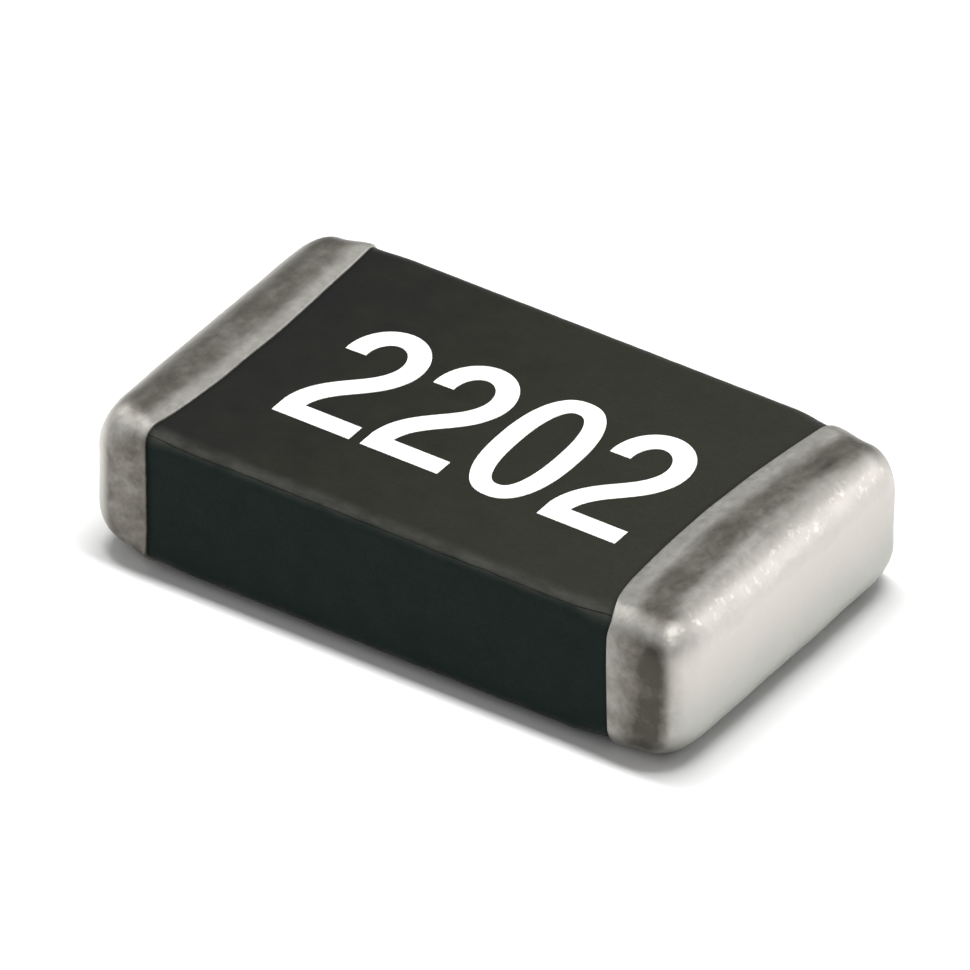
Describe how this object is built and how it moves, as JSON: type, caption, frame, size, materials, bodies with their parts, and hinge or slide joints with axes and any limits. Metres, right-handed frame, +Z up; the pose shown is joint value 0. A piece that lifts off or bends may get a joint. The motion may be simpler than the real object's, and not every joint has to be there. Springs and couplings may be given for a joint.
{
  "type": "smd chip resistor",
  "caption": "Surface-mount chip resistor: a dark ceramic block with a trimmed resistive film under a black overcoat, and dipped tin-plated caps that wrap each end for soldering.",
  "frame": {"origin": "under the middle of the chip, on the plane its two end caps rest on", "axes": "+X along the chip towards the right cap, +Y across it, +Z up towards the marked face"},
  "size_m": [0.002, 0.0012, 0.0005],
  "materials": {
    "ceramic": "matte dark fired ceramic",
    "overcoat": "matte black epoxy with a fine grain",
    "tin": "matte electroplated tin, faintly mottled",
    "nickel": "satin plated nickel",
    "silver": "fired silver paste, dull",
    "resistor_glaze": "fired ruthenium oxide glaze",
    "glass": "thin fired glass",
    "marking": "matte white printed ink"
  },
  "bodies": {
    "root": {"ceramic_substrate": "ceramic", "left_top_electrode": "silver", "right_top_electrode": "silver", "resistive_film": "resistor_glaze", "glass_coat": "glass", "overcoat": "overcoat", "left_end_electrode": "silver", "right_end_electrode": "silver", "left_nickel_barrier": "nickel", "right_nickel_barrier": "nickel", "left_tin_cap": "tin", "right_tin_cap": "tin"}
  },
  "joints": []
}
